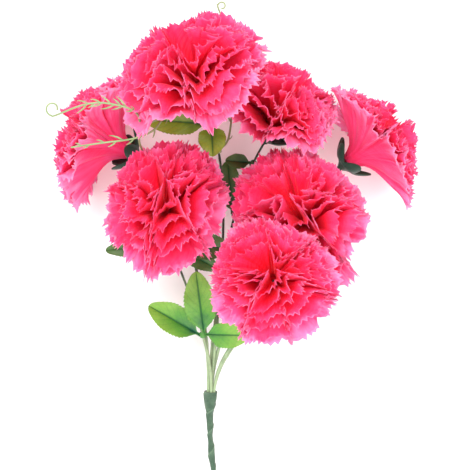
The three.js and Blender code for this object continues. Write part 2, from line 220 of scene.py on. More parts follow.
def smooth_line(points: Sequence[Vector], count: int) -> Array:
    """Runs a smooth line through some points.

    Args:
        points: The points, in order.
        count: How many places to give along it.

    Returns:
        Places at even steps of its length, one to a row.
    """
    p = np.array([tuple(v) for v in points], float)
    p = np.vstack([2 * p[0] - p[1], p, 2 * p[-1] - p[-2]])
    fine = []
    for a, b, c, d in zip(p, p[1:], p[2:], p[3:]):
        for t in np.linspace(0, 1, 12, endpoint=False):
            square, cube = (2 * a - 5 * b + 4 * c - d) * t**2, (3 * b - a - 3 * c + d) * t**3
            fine.append(0.5 * (2 * b + (c - a) * t + square + cube))
    fine.append(p[-2])
    fine = np.array(fine)
    run = np.concatenate([[0], np.cumsum(np.linalg.norm(np.diff(fine, axis=0), axis=1))])
    steps = np.linspace(0, run[-1], count)
    return np.stack([np.interp(steps, run, fine[:, k]) for k in range(3)], axis=1)


def tube(name: str, line: Array, radii: Array, sides: int = 4) -> bpy.types.Object:
    """Makes a closed round tube along a line.

    Args:
        name: The new object's name.
        line: The places of its middle, one to a row.
        radii: Its radius at each place.
        sides: Facets in a quarter of its round, less one.

    Returns:
        The tube as a mesh object.
    """
    deselect_all()
    bpy.ops.curve.primitive_nurbs_path_add()
    obj = bpy.context.object
    obj.name = name
    curve = obj.data
    curve.splines.clear()
    spline = curve.splines.new("POLY")
    spline.points.add(len(line) - 1)
    for point, place, radius in zip(spline.points, line, radii):
        point.co = (*place, 1)
        point.radius = radius
    curve.bevel_depth = 1.0
    curve.bevel_resolution = sides
    curve.use_fill_caps = True
    choose(obj)
    bpy.ops.object.convert(target="MESH")
    merge_doubles(obj, outward=True)
    return obj


def turned_wall(name: str, profile: Sequence[tuple[float, float]], sides: int) -> bpy.types.Object:
    """Makes an open turned wall about +Z by extruding a circle from ring to ring.

    Args:
        name: The new object's name.
        profile: Radius and height of each ring, in metres.
        sides: Vertices in a ring.

    Returns:
        The wall, one face thick.
    """
    deselect_all()
    radius, height = profile[0]
    bpy.ops.mesh.primitive_circle_add(vertices=sides, radius=radius, location=(0, 0, height))
    obj = bpy.context.object
    obj.name = name
    bpy.ops.object.transform_apply(location=True, rotation=True, scale=True)
    with editing(obj):
        for wide, high in profile[1:]:
            bpy.ops.mesh.extrude_region_move(TRANSFORM_OT_translate={"value": (0, 0, high - height)})
            factor = wide / radius
            bpy.ops.transform.resize(value=(factor, factor, 1), center_override=(0, 0, high))
            radius, height = wide, high
    return obj


# ------------------------------------------------------------------ shader building


class Nodes:
    """Builds one node tree."""

    def __init__(self, tree: bpy.types.NodeTree) -> None:
        """Starts on an empty tree."""
        self.tree = tree
        tree.nodes.clear()

    def add(self, kind: str, **settings: object) -> bpy.types.Node:
        """Adds a node.

        Args:
            kind: Its type, without the ShaderNode in front.
            settings: Its properties.

        Returns:
            The node.
        """
        node = self.tree.nodes.new(("" if kind.startswith("Node") else "ShaderNode") + kind)
        for name, value in settings.items():
            setattr(node, name, value)
        return node

    def put(self, socket: bpy.types.NodeSocket, value: object) -> None:
        """Links a socket's source, or sets its value."""
        if isinstance(value, bpy.types.NodeSocket):
            self.tree.links.new(value, socket)
        else:
            socket.default_value = value

    def math(self, operation: str, *values: object) -> bpy.types.NodeSocket:
        """Puts values through a Math node and gives its result."""
        node = self.add("Math", operation=operation)
        for socket, value in zip(node.inputs, values):
            self.put(socket, value)
        return node.outputs[0]

    def blend(self, share: object, first: object, second: object) -> bpy.types.NodeSocket:
        """Mixes two colours.

        Args:
            share: How much of the second shows.
            first: The first colour.
            second: The second colour.

        Returns:
            The mixed colour.
        """
        node = self.add("Mix", data_type="RGBA")
        self.put(node.inputs[0], share)
        self.put(node.inputs[6], first)
        self.put(node.inputs[7], second)
        return node.outputs[2]

    def ramp(self, share: object, stops: Sequence[tuple[float, Colour]]) -> bpy.types.NodeSocket:
        """Gives the colour of a ramp.

        Args:
            share: Where on the ramp to read.
            stops: Its places and colours.

        Returns:
            The colour.
        """
        node = self.add("ValToRGB")
        elements = node.color_ramp.elements
        while len(elements) < len(stops):
            elements.new(0.5)
        for element, (place, colour) in zip(elements, stops):
            element.position = place
            element.color = colour
        self.put(node.inputs[0], share)
        return node.outputs[0]

    def span(
        self, value: object, low: float, high: float, to_low: float, to_high: float
    ) -> bpy.types.NodeSocket:
        """Maps one range of values onto another, held at its ends."""
        node = self.add("MapRange")
        for socket, part in zip(node.inputs, (value, low, high, to_low, to_high)):
            self.put(socket, part)
        return node.outputs[0]

    def split(self, vector: object) -> bpy.types.NodeOutputs:
        """Splits a vector into its X, Y and Z."""
        node = self.add("SeparateXYZ")
        self.put(node.inputs[0], vector)
        return node.outputs

    def streaks(self, vector: object, scale: Sequence[float], detail: float) -> bpy.types.NodeSocket:
        """Gives the value of a noise that is scaled along each axis."""
        mapping, noise = self.add("Mapping"), self.add("TexNoise")
        self.put(mapping.inputs["Vector"], vector)
        mapping.inputs["Scale"].default_value = scale
        self.put(noise.inputs["Vector"], mapping.outputs[0])
        for label, value in (("Scale", 1.0), ("Detail", detail), ("Roughness", 0.55)):
            noise.inputs[label].default_value = value
        return noise.outputs[0]

    def group(self, tree: bpy.types.NodeTree, **values: object) -> bpy.types.Node:
        """Places a node group and fills its named inputs."""
        node = self.add("Group", node_tree=tree)
        for name, value in values.items():
            self.put(node.inputs[name], value)
        return node

    def bump(self, height: object, distance: float, strength: float) -> bpy.types.NodeSocket:
        """Turns a height into a normal."""
        node = self.add("Bump")
        node.inputs["Strength"].default_value = strength
        node.inputs["Distance"].default_value = distance
        self.put(node.inputs["Height"], height)
        return node.outputs[0]


def group_tree(
    name: str, inputs: Sequence[tuple[str, str, object]], outputs: Sequence[str]
) -> tuple[Nodes, dict, dict]:
    """Starts a shader group.

    Args:
        name: The group's name.
        inputs: Name, socket type and default of each input.
        outputs: Names of its outputs, all plain values.

    Returns:
        The tree's builder, its input sockets by name and its output sockets by name.
    """
    tree = bpy.data.node_groups.new(name, "ShaderNodeTree")
    for label, kind, default in inputs:
        socket = tree.interface.new_socket(label, in_out="INPUT", socket_type=kind)
        if default is not None:
            socket.default_value = default
    for label in outputs:
        tree.interface.new_socket(label, in_out="OUTPUT", socket_type="NodeSocketFloat")
    nodes = Nodes(tree)
    start, end = nodes.add("NodeGroupInput"), nodes.add("NodeGroupOutput")
    return nodes, {s.name: s for s in start.outputs}, {s.name: s for s in end.inputs}


def weave_group() -> bpy.types.NodeTree:
    """Makes a plain weave: threads over and under one another, with slubs.

    Returns:
        A group that takes the cloth's flat place and the threads in a metre.
    """
    inputs = [("Place", "NodeSocketVector", None), ("Threads", "NodeSocketFloat", 1500.0)]
    nodes, given, out = group_tree("plain_weave", inputs, ["Height", "Slub"])
    threads = [nodes.math("MULTIPLY", side, given["Threads"]) for side in nodes.split(given["Place"])[:2]]
    crown = [nodes.math("ABSOLUTE", nodes.math("SINE", nodes.math("MULTIPLY", v, math.pi))) for v in threads]
    cells = [nodes.math("FLOOR", v) for v in threads]
    over = nodes.math("PINGPONG", nodes.math("ADD", *cells), 1.0)
    height = nodes.add("Mix")
    nodes.put(height.inputs[0], over)
    nodes.put(height.inputs[2], crown[0])
    nodes.put(height.inputs[3], crown[1])
    nodes.put(out["Height"], height.outputs[0])
    nodes.put(out["Slub"], nodes.streaks(given["Place"], (900, 60, 1), 2.0))
    return nodes.tree


def mottle_group() -> bpy.types.NodeTree:
    """Makes uneven patches at two sizes, for wear, dyeing and moulding marks.

    Returns:
        A group that takes a place and a scale and gives broad and fine patches.
    """
    inputs = [("Place", "NodeSocketVector", None), ("Scale", "NodeSocketFloat", 60.0)]
    nodes, given, out = group_tree("mottle", inputs, ["Broad", "Fine"])
    for label, factor in (("Broad", 1.0), ("Fine", 9.0)):
        noise = nodes.add("TexNoise")
        nodes.put(noise.inputs["Vector"], given["Place"])
        nodes.put(noise.inputs["Scale"], nodes.math("MULTIPLY", given["Scale"], factor))
        noise.inputs["Detail"].default_value = 4.0
        nodes.put(out[label], noise.outputs[0])
    return nodes.tree


@dataclass(frozen=True)
class Effects:
    """The shader groups that the finishes share."""

    weave: bpy.types.NodeTree
    mottle: bpy.types.NodeTree


class Surface:
    """A material with one Principled shader, ready for its finish."""

    def __init__(self, name: str, roughness: float, **constants: float | tuple) -> None:
        """Makes the material.

        Args:
            name: The material's name.
            roughness: Its plain roughness.
            constants: Other shader sockets, by their names with _ for a space.
        """
        self.material = bpy.data.materials.new(name)
        self.material.use_nodes = True
        self.nodes = Nodes(self.material.node_tree)
        self.shader = self.nodes.add("BsdfPrincipled")
        output = self.nodes.add("OutputMaterial")
        self.nodes.put(output.inputs["Surface"], self.shader.outputs[0])
        self.shader.inputs["Roughness"].default_value = roughness
        for label, value in constants.items():
            self.shader.inputs[label.replace("_", " ")].default_value = value
        self.object_place = self.nodes.add("TexCoord").outputs["Object"]

    def uv(self, name: str) -> bpy.types.NodeSocket:
        """Reads one of the piece's UV maps."""
        return self.nodes.add("UVMap", uv_map=name).outputs[0]

    def set(self, label: str, value: object) -> None:
        """Links or sets one of the shader's sockets."""
        self.nodes.put(self.shader.inputs[label], value)

    def patches(self, effects: Effects, scale: float, low: float, high: float) -> tuple:
        """Adds uneven patches, and varies the roughness with the fine ones.

        Args:
            effects: The shared shader groups.
            scale: How close the broad patches are, in a metre.
            low: The lowest roughness.
            high: The highest roughness.

        Returns:
            The broad and the fine patches.
        """
        mottle = self.nodes.group(effects.mottle, Place=self.object_place, Scale=scale)
        broad, fine = mottle.outputs["Broad"], mottle.outputs["Fine"]
        self.set("Roughness", self.nodes.span(fine, 0.3, 0.7, low, high))
        return broad, fine


class Recipe:
    """What every finish has in common."""

    def build(self, effects: Effects) -> bpy.types.Material:
        """Makes the finish's material.

        Args:
            effects: The shared shader groups.

        Returns:
            The material.
        """
        raise NotImplementedError


# ------------------------------------------------------------------ finishes


@dataclass(frozen=True)
class PetalFabric(Recipe):
    """Thin woven polyester, pink at the pinked rim and deepening to crimson at the foot: the pink is the
    cloth's own colour, and the crimson towards the foot is painted shade and red bounce light deep in the
    flower's pockets.
    """

    # The crimson foot and throat are painted shade and red bounce light of the flower's pockets; the middle,
    # outer and rim are the cloth's own pinks.
    foot: Colour = tint("F00412")
    throat: Colour = tint("FF0C38")
    middle: Colour = tint("FF2259")
    outer: Colour = tint("FF4078")
    rim: Colour = tint("FF7CAC")
    frayed: Colour = tint("FFB4D2")
    threads: float = 2200.0
    streaks: float = 70.0

    def build(self, effects: Effects) -> bpy.types.Material:
        """Makes the material."""
        s = Surface(
            "petal_fabric", 0.7, Sheen_Weight=0.06, Specular_IOR_Level=0.15, Subsurface_Weight=0.35,
            Subsurface_Radius=(1.0, 0.2, 0.3), Subsurface_Scale=0.004,
        )
        n, shares = s.nodes, s.uv("UVMap")
        along = n.split(shares)[1]
        broad, _ = s.patches(effects, 55.0, 0.55, 0.7)
        streak = n.span(n.streaks(shares, (self.streaks, 2.2, 1), 3.0), 0.3, 0.7, -0.12, 0.12)
        share = n.math("ADD", along, n.math("ADD", streak, n.span(broad, 0.3, 0.7, -0.08, 0.08)))
        # Ramp from painted pocket shade at the foot to the cloth's pink at the rim.
        pink_and_pocket_shade = (self.foot, self.throat, self.middle, self.outer, self.rim)
        colour = n.ramp(share, list(zip((0.0, 0.3, 0.6, 0.84, 1.0), pink_and_pocket_shade)))
        weave = n.group(effects.weave, Place=s.uv("cut"), Threads=self.threads)
        colour = n.blend(n.span(weave.outputs["Slub"], 0.35, 0.75, 0, 0.12), colour, self.rim)
        frayed = n.math("GREATER_THAN", along, 0.985)
        s.set("Base Color", n.blend(n.math("MULTIPLY", frayed, 0.2), colour, self.frayed))
        creases = n.streaks(shares, (190.0, 3.0, 1), 2.0)
        height = n.math("ADD", n.math("MULTIPLY", weave.outputs["Height"], 0.25), creases)
        s.set("Normal", n.bump(height, 0.00035, 0.6))
        return s.material


@dataclass(frozen=True)
class LeafPlastic(Recipe):
    """Soft moulded leaf, sprayed from teal at the stalk to a brighter green at the margin."""

    name: str
    base: Colour
    blade: Colour
    tip: Colour
    rib: Colour = tint("1F5A38")

    def build(self, effects: Effects) -> bpy.types.Material:
        """Makes the material."""
        s = Surface(self.name, 0.42, Specular_IOR_Level=0.4, Coat_Weight=0.06, Coat_Roughness=0.35)
        n = s.nodes
        across, along, _ = n.split(s.uv("UVMap"))
        broad, fine = s.patches(effects, 110.0, 0.34, 0.52)
        from_rib = n.math("ABSOLUTE", n.math("SUBTRACT", across, 0.5))
        sprayed = n.math("ADD", along, n.math("MULTIPLY", from_rib, 0.7))
        share = n.math("ADD", sprayed, n.span(broad, 0.3, 0.7, -0.16, 0.16))
        colour = n.ramp(share, [(0.12, self.base), (0.5, self.blade), (1.1, self.tip)])
        rib = n.span(from_rib, 0.012, 0.05, 0.75, 0)
        colour = n.blend(rib, colour, self.rib)
        slant = n.math("MULTIPLY", from_rib, 5.0)
        veins = n.math("SUBTRACT", n.math("MULTIPLY", along, 8.0), slant)
        off_vein = n.math("ABSOLUTE", n.math("SUBTRACT", n.math("FRACT", veins), 0.5))
        side_vein = n.span(off_vein, 0.02, 0.09, 0.22, 0)
        colour = n.blend(side_vein, colour, self.rib)
        s.set("Base Color", n.blend(n.span(fine, 0.4, 0.8, 0, 0.25), colour, self.base))
        height = n.math("SUBTRACT", n.math("MULTIPLY", fine, 0.5), n.math("ADD", rib, side_vein))
        s.set("Normal", n.bump(height, 0.0004, 0.5))
        return s.material


@dataclass(frozen=True)
class MouldedPlastic(Recipe):
    """Moulded or coated plastic with faint patches and draw lines along it."""

    name: str
    low: Colour
    high: Colour
    roughness: float
    low_y: float = -0.1
    high_y: float = 0.1
    grain: float = 900.0

    def build(self, effects: Effects) -> bpy.types.Material:
        """Makes the material, coloured from low at low_y to high at high_y."""
        s = Surface(self.name, self.roughness, Specular_IOR_Level=0.4)
        n = s.nodes
        broad, fine = s.patches(effects, 130.0, self.roughness - 0.1, self.roughness + 0.12)
        along = n.span(n.split(s.object_place)[1], self.low_y, self.high_y, 0, 1)
        share = n.math("ADD", along, n.span(broad, 0.3, 0.7, -0.25, 0.25))
        colour = n.ramp(share, [(0.0, self.low), (1.0, self.high)])
        darker = n.blend(0.5, colour, (0.01, 0.02, 0.01, 1))
        s.set("Base Color", n.blend(n.span(fine, 0.45, 0.8, 0, 0.4), colour, darker))
        lines = n.streaks(s.object_place, (self.grain, self.grain / 14, self.grain), 2.0)
        s.set("Normal", n.bump(lines, 0.00015, 0.5))
        return s.material


@dataclass(frozen=True)
class FloralTape(Recipe):
    """Waxed crepe tape in dusty green, with painted shade in its creases."""

    face: Colour = tint("4E6A52")
    crease_shade: Colour = tint("2A4433")
    edge: Colour = tint("6E8A6E")

    def build(self, effects: Effects) -> bpy.types.Material:
        """Makes the material."""
        s = Surface("floral_tape", 0.6, Specular_IOR_Level=0.35, Sheen_Weight=0.1)
        n = s.nodes
        around, along, _ = n.split(s.uv("UVMap"))
        crepe = n.streaks(s.uv("UVMap"), (14.0, 260.0, 1), 3.0)
        broad, fine = s.patches(effects, 200.0, 0.5, 0.72)
        laps = n.math("ADD", n.math("MULTIPLY", along, Handle.LAPS), around)
        edge = n.span(n.math("FRACT", laps), 0.86, 0.98, 0, 0.5)
        # The crepe's valleys take the darker colour, as painted shade in the creases.
        colour = n.blend(n.span(crepe, 0.35, 0.65, 0, 0.75), self.crease_shade, self.face)
        colour = n.blend(n.span(broad, 0.4, 0.75, 0, 0.35), colour, self.edge)
        s.set("Base Color", n.blend(edge, colour, self.edge))
        s.set("Normal", n.bump(n.math("ADD", crepe, n.math("MULTIPLY", fine, 0.4)), 0.0005, 0.7))
        return s.material


@dataclass(frozen=True)
class StudioFloor(Recipe):
    """Pale matt board with a trace of grain."""

    colour: Colour = tint("F6F6F6")
    grain: Colour = (0.8, 0.8, 0.82, 1)

    def build(self, effects: Effects) -> bpy.types.Material:
        """Makes the material."""
        s = Surface("studio_floor", 0.85, Specular_IOR_Level=0.1)
        n = s.nodes
        grain = n.group(effects.mottle, Place=s.object_place, Scale=8.0).outputs["Fine"]
        s.set("Base Color", n.blend(n.span(grain, 0.3, 0.8, 0, 0.04), self.colour, self.grain))
        return s.material


class Finish(Enum):
    """The finishes of the bunch: the record's material slot, and how each is made."""

    PETAL = ("petal_fabric", PetalFabric())
    LEAF = ("leaf_plastic", LeafPlastic("leaf_bright", tint("185638"), tint("549430"), tint("7CAC40")))
    YELLOW_LEAF = ("leaf_plastic", LeafPlastic("leaf_yellow", tint("345818"), tint("708E24"), tint("8CA232")))
    # A darker copy of the leaf finish: painted shade for the leaves that lie deep under the heads, partly
    # also the darker colour of their undersides.
    DARK_LEAF = ("leaf_plastic", LeafPlastic("leaf_shaded", tint("173C24"), tint("305422"), tint("466A2E")))
    CALYX = ("calyx_plastic", MouldedPlastic("calyx_plastic", tint("1A4630"), tint("143A2C"), 0.42))
    # The stems turn from pale low down to dark from the middle of the bunch up: the dark is painted shade
    # where they run under the heads and leaves.
    STEM = ("stem_plastic", MouldedPlastic("stem_plastic", tint("93A780"), tint("18301F"), 0.45, -0.08, 0.0))
    SPRIG = ("sprig_plastic", MouldedPlastic("sprig_plastic", tint("708A56"), tint("9CAE80"), 0.5, 0.0, 0.16))
    TAPE = ("floral_tape", FloralTape())

    @property
    def slot(self) -> str:
        """Names the slot of the record."""
        return self.value[0]

    def build(self, effects: Effects) -> bpy.types.Material:
        """Makes the material."""
        return self.value[1].build(effects)


class Wardrobe:
    """Builds every finish once and dresses pieces in them."""

    def __init__(self) -> None:
        """Builds the shared effects and the materials."""
        effects = Effects(weave_group(), mottle_group())
        self.materials = {finish: finish.build(effects) for finish in Finish}
        self.floor = StudioFloor().build(effects)

    def finish(self, obj: bpy.types.Object, finish: Finish, nodes: Sequence[str] = ()) -> None:
        """Dresses a piece and parents it to the bunch's body, hiding the frame's nodes that it stands for.

        Args:
            obj: The piece.
            finish: Its finish.
            nodes: The frame's nodes that it stands for.
        """
        obj.data.materials.clear()
        obj.data.materials.append(self.materials[finish])
        finish.slot
        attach(obj, BODY)
        if nodes:
            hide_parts(*nodes)
        log.info("%s: %d faces", obj.name, len(obj.data.polygons))


# ------------------------------------------------------------------ places, measured from the frame


def node_places(node: str) -> Array:
    """Gives the distinct vertex places of a node of the frame."""
    return np.unique(np.round(places_of(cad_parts[node]), 6), axis=0)


@dataclass(frozen=True)
class FlowerPlace:
    """Where a flower sits and which way it faces."""

    base: Vector
    turn: Matrix

    @classmethod
    def measured(cls, flower: str) -> "FlowerPlace":
        """Measures a flower's axis and base from its calyx and its outer petals.

        Args:
            flower: The flower's name.

        Returns:
            The base, in the middle of the outer petals' flat foot, and the turn from the flower's
            own frame, +Z along its axis and +X level.
        """
        petals = node_places(f"outer_petals_{flower}")
        low = Vector(node_places(f"calyx_{flower}").mean(axis=0))
        high = Vector(petals.mean(axis=0))
        z = (high - low).normalized()
        x = Vector((0, 1, 0)).cross(z).normalized()
        foot = min(Vector(p).dot(z) for p in petals) + PetalStack.CAD_THICKNESS / 2
        turn = Matrix((x, z.cross(x), z)).transposed()
        return cls(low + z * (foot - low.dot(z)), turn)

    @property
    def matrix(self) -> Matrix:
        """The flower's frame as one matrix."""
        return Matrix.Translation(self.base) @ self.turn.to_4x4()


class StemLine:
    """The middle line of a stem, measured from its node's rings of vertices."""

    RING = 2.6 * MM  # the vertices of one ring are closer to one another than this

    def __init__(self, flower: str) -> None:
        """Measures the line, from the handle to the calyx."""
        rings: list[list[Array]] = []
        for place in node_places(f"stem_{flower}"):
            near = [r for r in rings if np.linalg.norm(r[0] - place) < self.RING]
            if near:
                near[0].append(place)
            else:
                rings.append([place])
        centres = [np.mean(r, axis=0) for r in rings]
        centres.sort(key=lambda c: c[1])
        line = [centres.pop(0)]
        while centres:
            nearest = min(range(len(centres)), key=lambda i: np.linalg.norm(centres[i] - line[-1]))
            line.append(centres.pop(nearest))
        self.line = smooth_line([Vector(c) for c in line], 90)

    def at(self, share: float) -> tuple[Vector, Vector]:
        """Gives the place and the direction at a share of the stem's length."""
        i = min(int(share * (len(self.line) - 1)), len(self.line) - 2)
        part = share * (len(self.line) - 1) - i
        place = self.line[i] * (1 - part) + self.line[i + 1] * part
        return Vector(place), Vector(self.line[i + 1] - self.line[i]).normalized()


# ------------------------------------------------------------------ petals


@dataclass(frozen=True)
class Round:
    """One pinked fabric round of a flower, as it lies once it is fluffed.

    lean is the mean angle in degrees from the flower's axis, fold the swing of its big folds and
    curl how far its rim turns outwards. pleats counts the small gathers, whose swing takes up the
    cloth that a narrower cone has no room for.
    """

    node: str
    lean: float
    fold: float
    curl: float
    reach: float
    pleats: int
    pink_and_shade_span: tuple[float, float]  # where its foot and its rim come on the petal ramp, from painted pocket shade to the cloth's pink
    pressed: float  # how far it follows the outermost round where the flower is pressed open
    squeeze: float  # how far it is flattened towards the pressed side


@dataclass(frozen=True)
class Habit:
    """How one flower has been fluffed."""

    size: float
    seed: int
    folds: int = 3
    oval: tuple[float, float] = (0.0, 1.0)  # the way it is narrowed, in degrees, and to what share
    closed: tuple[float, float] = (-90.0, 0.24)  # the side, in degrees, that leans less, and how much
    fan: tuple[float, float] = (90.0, 0.9)  # the side where its rounds are pressed together, and how much
    taper: float = 0.0  # how much it narrows towards that side


class FoldedRound:
    """A round's pinked cut, and the folds that bring it to its place in the flower."""

    LENGTH = 57 * MM  # flat radius of the largest round
    OPEN_LEAN = 64  # of the outermost round, in degrees
    HOLE = 1.3 * MM
    FOOT = 0.11  # share of the length that stays flat on the pin
    TEETH = 170
    TOOTH_DEPTH = 0.045  # share of the length
    LOBES = 38
    LOBE_DEPTH = 0.06  # share of the length cut between two lobes
    SCALLOPS = 9
    SCALLOP_DEPTH = 0.03  # share of the length
    SLITS = 7
    SLIT_WIDTH = 0.03  # half of it, in radians
    TUCK = 0.6  # share of the length that the innermost round is tucked in by on a closed side

    def __init__(
        self, shape: Round, habit: Habit, seat: float, shared: Array, draw: np.random.Generator
    ) -> None:
        """Draws the round's own teeth, slits and folds.

        Args:
            shape: The round.
            habit: How its flower has been fluffed.
            seat: Its height on the pin.
            shared: Phases of the big folds, the same in all of the flower's rounds.
            draw: Where its own numbers are drawn from.
        """
        self.shape, self.habit, self.seat, self.shared = shape, habit, seat, shared
        self.phase = draw.uniform(0, TURN, 6)
        self.tooth_length = draw.uniform(0.35, 1.0, self.TEETH)
        self.tooth_curl = draw.uniform(-4, 4, self.TEETH)
        self.tooth_slant = draw.uniform(-0.3, 0.3, self.TEETH) * TURN / self.TEETH
        self.slits = draw.uniform(0, TURN, self.SLITS)
        self.slit_depth = draw.uniform(0.02, 0.1, self.SLITS)
        self.length = self.LENGTH * habit.size * shape.reach
        self.narrow, self.fan = math.radians(habit.oval[0]), math.radians(habit.fan[0])
        self.gathered = 1.32 - 0.57 * shape.lean / self.OPEN_LEAN + 0.9 * max(0, 1 - habit.oval[1])

    @property
    def area(self) -> float:
        """Measures the flat area of the cut."""
        count = 8 * self.TEETH
        rim = self.on_cut((np.arange(count) + 0.5) / count, np.ones(count))[0]
        return float(math.pi * np.mean(rim**2))

    def on_cut(self, u: Array, v: Array) -> tuple[Array, Array, Array, Array]:
        """Finds places on the cut cloth.

        Args:
            u: Shares round the cloth.
            v: Shares along it, from the pin to the rim.

        Returns:
            The length from the pin to each place, which tooth it is under, how near to the tooth's
            tip it is, and how much less the flower leans on that side.
        """
        angle, phase, habit = u * TURN, self.phase, self.habit
        tooth = np.floor(u * self.TEETH + 1e-6).astype(int) % self.TEETH
        tip = saw(u * self.TEETH) ** 1.2
        cut = self.TOOTH_DEPTH * (1 - tip * self.tooth_length[tooth])
        for place, depth in zip(self.slits, self.slit_depth):
            cut = cut + depth * np.exp(-(((angle - place + math.pi) % TURN - math.pi) / self.SLIT_WIDTH) ** 2)
        lobe = np.sin(self.LOBES / 2 * angle + phase[5] + 0.5 * np.sin(5 * angle + phase[1]))
        cut = cut + self.LOBE_DEPTH * (1 - np.abs(lobe) ** 0.6)
        scallop = self.SCALLOP_DEPTH * (1 + np.sin(self.SCALLOPS * angle + phase[0]))
        closed = habit.closed[1] * smooth(np.cos(angle - math.radians(habit.closed[0])), -0.4, 0.9)
        short = closed * (1 - self.shape.lean / self.OPEN_LEAN) * self.TUCK
        return v * self.length * (1 - cut * v**9 - scallop * v**4) * (1 - short), tooth, tip, closed

    def places(self, u: Array, v: Array) -> Array:
        """Folds the cloth into its place.

        Args:
            u: Shares round the cloth.
            v: Shares along it, from the pin to the rim.

        Returns:
            The places in the flower's frame, one to a row.
        """
        shape, habit, phase, shared = self.shape, self.habit, self.phase, self.shared
        angle, v = u * TURN, 1 - (1 - v) ** 1.5
        along, tooth, tip, closed = self.on_cut(u, v)
        tip = smooth(v, 0.86, 1.0) * tip
        # The big folds, shared by the rounds, and the small pleats, each round's own.
        n = habit.folds
        bend = n * angle + shared[0] + 0.8 * np.sin(angle + shared[1]) + 0.5 * np.sin(2 * angle + shared[2])
        fold = np.sin((2 * n + 1) * angle + shared[3] + np.sin(angle + shared[4]))
        fold = 0.8 * np.cos(bend) + 0.45 * fold
        run = shape.pleats * angle + phase[1] + 1.5 * np.sin(2 * angle + phase[2])
        run = run + 0.8 * np.sin(5 * angle + phase[3])
        pleat = np.sin(run) * (0.85 + 0.4 * np.sin(3 * angle + phase[4]))
        # How far each place leans from the flower's axis, in degrees.
        open_up = smooth(v, 0.1, 0.9)
        pressed = smooth(np.cos(angle - self.fan) + 0.2 * np.cos(bend), 0.2, 0.9)
        pressed = habit.fan[1] * shape.pressed * pressed
        lean = shape.lean + (self.OPEN_LEAN - shape.lean) * pressed
        lean = lean * (0.66 + 0.34 * smooth(v, 0.1, 0.7)) * (1 - closed)
        gather = np.cos(np.radians(lean)) * smooth(v, 0.08, 0.6)
        gather = np.degrees(self.gathered / shape.pleats) * gather
        lean = lean + (open_up * shape.fold * fold + gather * pleat) * (1 - 0.55 * pressed)
        rim = smooth(v, 0.6, 1.0)
        lean = lean + shape.curl * rim * (0.5 + np.sin(2 * angle + phase[5]) ** 2)
        lean = lean + 1.6 * rim * np.sin(37 * angle + 2 * np.sin(6 * angle + phase[0]))
        lean = 2 + np.logaddexp(0, (lean - 2) / 5) * 5
        lean = lean + tip * self.tooth_curl[tooth]
        lean = np.radians(lean + (90 - lean) * np.exp(-((v / self.FOOT) ** 2)))
        # Its place, narrowed to an oval and flattened towards the pressed side.
        swing = open_up * (0.5 / n * np.sin(2 * bend) + 0.35 / shape.pleats * np.sin(2 * run))
        azimuth = angle + swing + tip * self.tooth_slant[tooth]
        out = self.HOLE * np.exp(-v * 8) + along * np.sin(lean)
        drawn_in = out * np.cos(azimuth - self.narrow) * (1 - habit.oval[1])
        x = out * np.cos(azimuth) - drawn_in * math.cos(self.narrow)
        y = out * np.sin(azimuth) - drawn_in * math.sin(self.narrow)
        east, north = math.cos(self.fan), math.sin(self.fan)
        ahead, aside = x * east + y * north, y * east - x * north
        aside = aside * (1 - habit.taper * ahead / self.length)
        ahead = ahead * (1 - shape.squeeze * (1 - pressed) * open_up)
        x, y = ahead * east - aside * north, ahead * north + aside * east
        return np.stack([x, y, self.seat + along * np.cos(lean)], axis=1)


